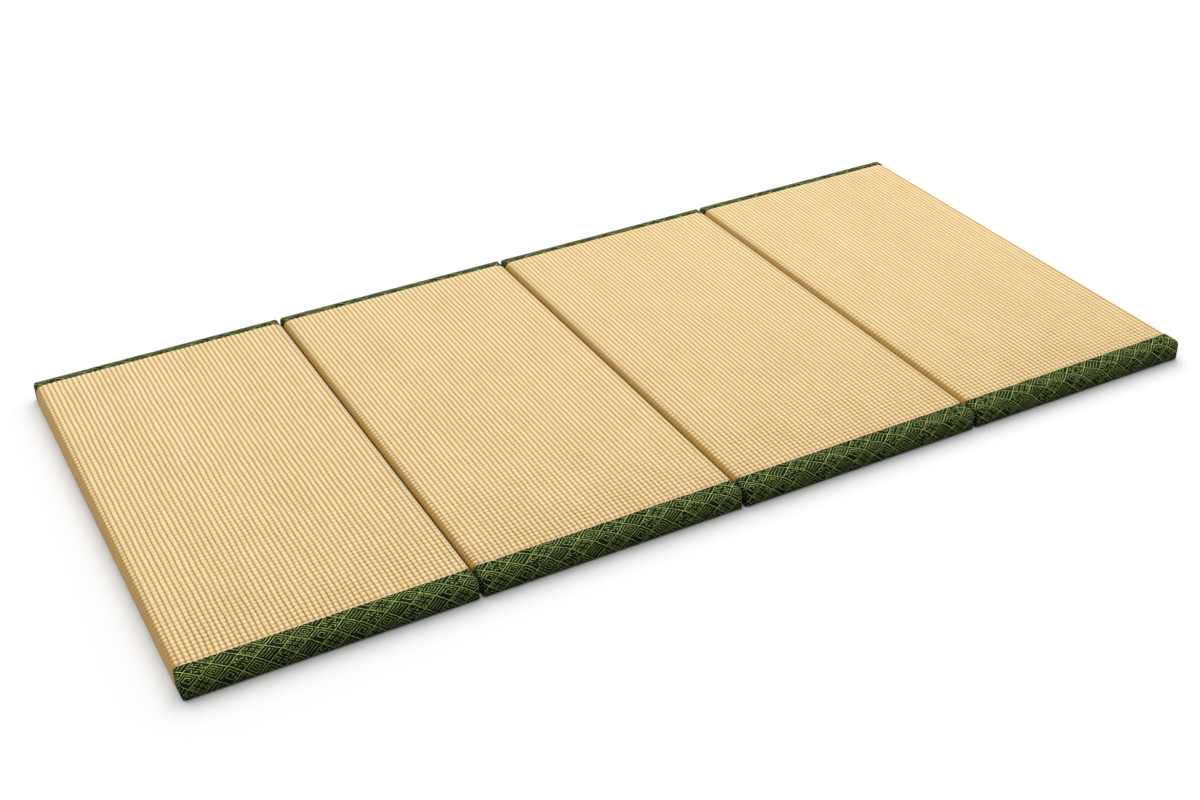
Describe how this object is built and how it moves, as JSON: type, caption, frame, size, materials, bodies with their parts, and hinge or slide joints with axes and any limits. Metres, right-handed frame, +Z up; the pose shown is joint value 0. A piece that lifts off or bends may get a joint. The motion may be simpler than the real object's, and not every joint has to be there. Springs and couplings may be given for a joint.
{
  "type": "folding tatami mat",
  "caption": "Folding tatami mat laid flat: a row of padded panels in ribbed woven rush, joined along their long sides, with green brocade binding round both edges.",
  "frame": {"origin": "middle of the underside, on the floor", "axes": "+X along the mat across its fold lines, +Y along the fold lines, +Z up through the thickness"},
  "size_m": [2, 1.0012, 0.043],
  "materials": {
    "rush": "dry woven rush in soft ribs, pale straw with darker tan grooves, faint sheen",
    "brocade": "dark green brocade with fine yellow-green lines in a diamond lattice, slightly raised, soft sheen",
    "tape": "plain brown woven cotton tape, matt"
  },
  "bodies": {
    "root": {"rush_pad_1": "rush", "rush_pad_2": "rush", "rush_pad_3": "rush", "rush_pad_4": "rush", "front_binding_1": "brocade", "front_binding_2": "brocade", "front_binding_3": "brocade", "front_binding_4": "brocade", "back_binding_1": "brocade", "back_binding_2": "brocade", "back_binding_3": "brocade", "back_binding_4": "brocade", "fold_tape_1": "tape", "fold_tape_2": "tape", "fold_tape_3": "tape"}
  },
  "joints": []
}
